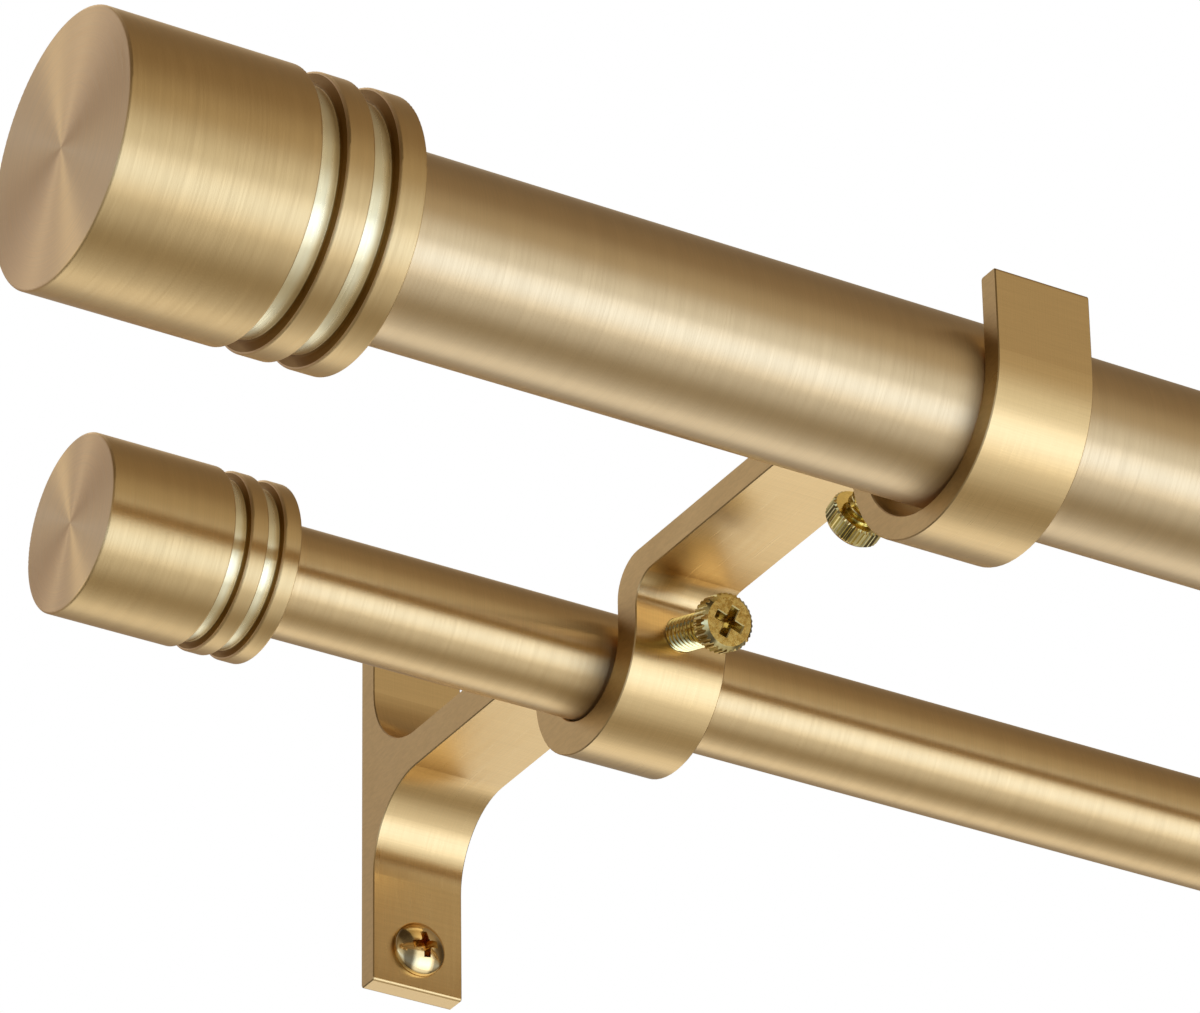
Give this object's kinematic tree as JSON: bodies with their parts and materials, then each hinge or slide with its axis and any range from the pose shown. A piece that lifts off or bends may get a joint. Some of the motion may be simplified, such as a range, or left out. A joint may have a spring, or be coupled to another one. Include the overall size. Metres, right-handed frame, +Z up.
{
  "type": "double curtain pole",
  "caption": "Telescoping double curtain pole: a thick front pole and a thin back pole with grooved cylindrical finials, held by thumb screws in cup brackets that screw to the wall.",
  "frame": {"origin": "in the wall plane, in the middle of the four wall screws", "axes": "+X along the poles towards the end that slides out, +Y into the wall, +Z up"},
  "size_m": [0.5398, 0.1779, 0.0644],
  "materials": {
    "bracket": "brushed gold",
    "front_tube": "brushed gold plated steel",
    "back_tube": "brushed gold plated steel",
    "inner_tube": "brushed gold plated steel",
    "front_finial": "turned and brushed gold, polished grooves",
    "back_finial": "turned and brushed gold, polished grooves",
    "thumb_screw": "bright brass",
    "wall_screw": "polished pale gold plated steel",
    "stud": "zinc plated steel",
    "nylon": "natural nylon"
  },
  "bodies": {
    "fixed": {"left_bracket": "bracket", "right_bracket": "bracket", "left_upper_wall_screw": "wall_screw", "left_lower_wall_screw": "wall_screw", "right_upper_wall_screw": "wall_screw", "right_lower_wall_screw": "wall_screw", "front_outer_tube": "front_tube", "front_mouth_bush": "nylon", "front_left_finial": "front_finial", "front_left_plug": "nylon", "front_left_stud": "stud", "back_outer_tube": "back_tube", "back_mouth_bush": "nylon", "back_left_finial": "back_finial", "back_left_plug": "nylon", "back_left_stud": "stud"},
    "front_extension": {"front_inner_tube": "inner_tube", "front_glide": "nylon", "front_right_finial": "front_finial", "front_right_plug": "nylon", "front_right_stud": "stud"},
    "back_extension": {"back_inner_tube": "inner_tube", "back_glide": "nylon", "back_right_finial": "back_finial", "back_right_plug": "nylon", "back_right_stud": "stud"},
    "left_front_thumb": {"left_front_thumb_screw": "thumb_screw"},
    "left_back_thumb": {"left_back_thumb_screw": "thumb_screw"},
    "right_front_thumb": {"right_front_thumb_screw": "thumb_screw"},
    "right_back_thumb": {"right_back_thumb_screw": "thumb_screw"}
  },
  "joints": [
    {"name": "front_extend", "type": "slide", "parent": "fixed", "child": "front_extension", "axis": [1, 0, 0], "range_m": [0, 0.254]},
    {"name": "back_extend", "type": "slide", "parent": "fixed", "child": "back_extension", "axis": [1, 0, 0], "range_m": [0, 0.254]},
    {"name": "left_front_loosen", "type": "slide", "parent": "fixed", "child": "left_front_thumb", "axis": [0, 0.9537, -0.3007], "range_m": [0, 0.004]},
    {"name": "left_back_loosen", "type": "slide", "parent": "fixed", "child": "left_back_thumb", "axis": [0, -0.9537, -0.3007], "range_m": [0, 0.004]},
    {"name": "right_front_loosen", "type": "slide", "parent": "fixed", "child": "right_front_thumb", "axis": [0, 0.9537, -0.3007], "range_m": [0, 0.004]},
    {"name": "right_back_loosen", "type": "slide", "parent": "fixed", "child": "right_back_thumb", "axis": [0, -0.9537, -0.3007], "range_m": [0, 0.004]}
  ]
}
